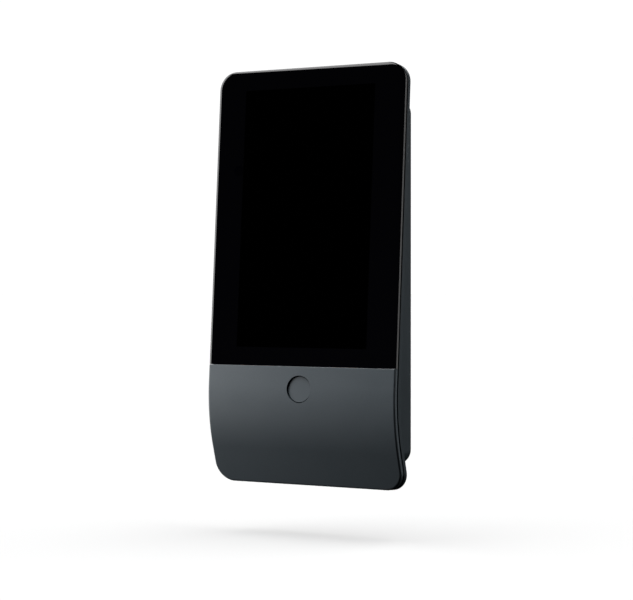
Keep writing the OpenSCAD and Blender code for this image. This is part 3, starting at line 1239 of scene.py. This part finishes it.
def bearing(azimuth: float, elevation: float) -> Vector:
    """Gives a direction out from the panel.

    Args:
        azimuth: Degrees round from straight in front, to the right.
        elevation: Degrees up.

    Returns:
        The direction, one long.
    """
    a, e = math.radians(azimuth), math.radians(elevation)
    return Vector((math.sin(a) * math.cos(e), -math.cos(a) * math.cos(e), math.sin(e)))


def place_light(
    data: bpy.types.Light, at: Vector, back: Vector, lit: bpy.types.Collection
) -> None:
    """Puts a light in the scene.

    Args:
        data: The light.
        at: Where it stands.
        back: The direction that it faces away from.
        lit: What it lights.
    """
    light = bpy.data.objects.new(data.name, data)
    light.location = at
    light.rotation_mode = "QUATERNION"
    light.rotation_quaternion = back.to_track_quat("Z", "Y")
    light.light_linking.receiver_collection = lit
    bpy.context.scene.collection.objects.link(light)


@dataclass
class SoftBox:
    """A soft rectangular light, aimed at the panel."""

    name: str
    azimuth: float  # degrees, as in bearing()
    elevation: float
    distance: float  # metres
    width: float
    height: float
    radiance: float
    lit: bpy.types.Collection = PIECES
    tint: str = "#ffffff"

    def build(self, aim: Vector) -> None:
        """Makes the light.

        Args:
            aim: The point it looks at.
        """
        back = bearing(self.azimuth, self.elevation)
        data = bpy.data.lights.new(self.name, "AREA")
        data.shape = "RECTANGLE"
        data.size, data.size_y = self.width, self.height
        data.energy = self.radiance * math.pi * self.width * self.height
        data.color = linear(self.tint)[:3]
        place_light(data, aim + back * self.distance, back, self.lit)


@dataclass
class Studio:
    """Plain pale floor, soft lights, a white surround and the camera."""

    camera_at: tuple[float, float, float] = (0.34773, -0.65216, -0.00074)
    heading: float = 28.35  # degrees to the right of straight in front
    pitch: float = -0.543
    lens: float = 97.54
    clip: tuple[float, float] = (0.05, 60.0)
    floor_drop: float = 0.0215  # metres below the panel
    floor_size: float = 30.0
    floor_colour: str = "#e9e9e9"
    floor_fill: float = 0.62  # share of the floor's light that throws no shadow
    floor_key: float = 0.40
    floor_tilt: float = 32.0
    floor_spread: float = 50.0
    backdrop: float = 1.05
    surround: float = 0.001
    boxes: list[SoftBox] = field(
        default_factory=lambda: [
            SoftBox("near_left", -55, 11, 0.28, 0.10, 0.10, 9.2),
            SoftBox("low_left", -62, -10, 0.40, 0.20, 0.20, 7.9),
            SoftBox("high_left", -45, 62, 0.40, 0.20, 0.20, 15.7),
            SoftBox("high_front", -30, 60, 0.50, 0.40, 0.40, 4.6),
            SoftBox("behind_right", 150, 5, 0.60, 0.22, 0.60, 0.85, tint="#dcecf7"),
            SoftBox("right_fill", 112, 15, 0.70, 0.40, 0.40, 1.6),
            SoftBox("behind_left", -165, 28, 0.70, 0.50, 0.50, 3.0),
            # the glass has its own lights, which draw the lines along its soft edge
            SoftBox("glass_left", -72, 5, 0.50, 0.22, 0.80, 4.2, POLISHED),
            SoftBox("glass_left_back", -112, 5, 0.50, 0.45, 0.80, 0.8, POLISHED),
            SoftBox("glass_top", -66, 63, 0.50, 0.55, 0.26, 4.6, POLISHED),
            SoftBox("glass_right", 150, 5, 0.60, 0.22, 0.60, 1.05, POLISHED),
            SoftBox("glass_fill", 20, -45, 0.50, 0.40, 0.40, 12.0, POLISHED),
        ]
    )

    def build(self) -> None:
        """Builds the studio round the panel."""
        low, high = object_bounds()
        middle = (low + high) / 2
        self.light_floor(self.floor(low.z - self.floor_drop))
        for box in self.boxes:
            box.build(middle)
        self.world()
        self.camera()

    def floor(self, height: float) -> bpy.types.Collection:
        """Makes the floor.

        Args:
            height: The floor's height.

        Returns:
            The collection that holds only the floor.
        """
        bm = bmesh.new()
        bmesh.ops.create_grid(bm, x_segments=1, y_segments=1, size=self.floor_size / 2)
        bmesh.ops.translate(bm, vec=(0, 0, height), verts=bm.verts)
        mesh = bpy.data.meshes.new("studio_floor")
        bm.to_mesh(mesh)
        bm.free()
        floor = bpy.data.objects.new("studio_floor", mesh)
        surface = bpy.data.materials.new("floor_paper_matt")
        surface.use_nodes = True
        shader = surface.node_tree.nodes["Principled BSDF"]
        shader.inputs["Base Color"].default_value = linear(self.floor_colour)
        shader.inputs["Roughness"].default_value = 1.0
        shader.inputs["Specular IOR Level"].default_value = 0.0
        mesh.materials.append(surface)
        alone = bpy.data.collections.new("studio_floor_only")
        bpy.context.scene.collection.children.link(alone)
        alone.objects.link(floor)
        floor.visible_diffuse = False
        floor.visible_glossy = False
        floor.visible_shadow = False
        floor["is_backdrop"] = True
        return alone

    def light_floor(self, floor: bpy.types.Collection) -> None:
        """Makes the lights that only the floor sees: a fill, and a key in three directions.

        Args:
            floor: The collection that holds the floor.
        """
        pale = linear(self.floor_colour)[0]
        side = math.radians(self.heading)
        across = Vector((math.cos(side), math.sin(side), 0.0))
        share = self.floor_key / 3
        for name, part, shadows, tilt in (
            ("floor_fill", self.floor_fill, False, 0.0),
            ("floor_key_left", share, True, -self.floor_tilt),
            ("floor_key_middle", share, True, 0.0),
            ("floor_key_right", share, True, self.floor_tilt),
        ):
            lean = math.radians(tilt)
            data = bpy.data.lights.new(name, "SUN")
            data.energy = part * math.pi / (pale * math.cos(lean))
            data.angle = math.radians(self.floor_spread)
            data.use_shadow = shadows
            back = across * math.sin(lean) + Vector((0, 0, math.cos(lean)))
            place_light(data, Vector((0, 0, 1)), back, floor)

    def world(self) -> None:
        """Makes the surround white to look at, and dark in reflections: the glass stays black."""
        world = bpy.data.worlds.new("studio")
        world.use_nodes = True
        tree = world.node_tree
        tree.nodes.clear()
        white = (1, 1, 1, 1)
        seen = add(tree, "ShaderNodeBackground", {"Color": white, "Strength": self.backdrop})
        felt = add(tree, "ShaderNodeBackground", {"Color": white, "Strength": self.surround})
        mix = add(
            tree,
            "ShaderNodeMixShader",
            _0=add(tree, "ShaderNodeLightPath").outputs["Is Camera Ray"],
            _1=felt.outputs[0],
            _2=seen.outputs[0],
        )
        add(tree, "ShaderNodeOutputWorld", Surface=mix.outputs[0])
        bpy.context.scene.world = world
        bpy.context.scene.view_settings.view_transform = "Standard"

    def camera(self) -> None:
        """Stands the camera to the right of the panel, level with its middle."""
        data = bpy.data.cameras.new("camera")
        data.lens = self.lens
        data.clip_start, data.clip_end = self.clip
        camera = bpy.data.objects.new("camera", data)
        look = -bearing(self.heading, -self.pitch)
        camera.location = self.camera_at
        camera.rotation_mode = "QUATERNION"
        camera.rotation_quaternion = look.to_track_quat("-Z", "Y")
        bpy.context.scene.collection.objects.link(camera)
        bpy.context.scene.camera = camera


def main() -> None:
    """Builds the studio, then the pieces in order."""
    logging.basicConfig(level=logging.INFO, format="%(name)s: %(message)s")
    Studio().build()
    dress_cad(INNER_FINISHES)
    parts = (
        CoverGlass(),
        LowerCover(),
        FrontButton(),
        RearHousing(),
        WallBracket(),
        HoldingScrew(),
    )
    for part in parts:
        part.dress()


if __name__ == "__main__":
    main()
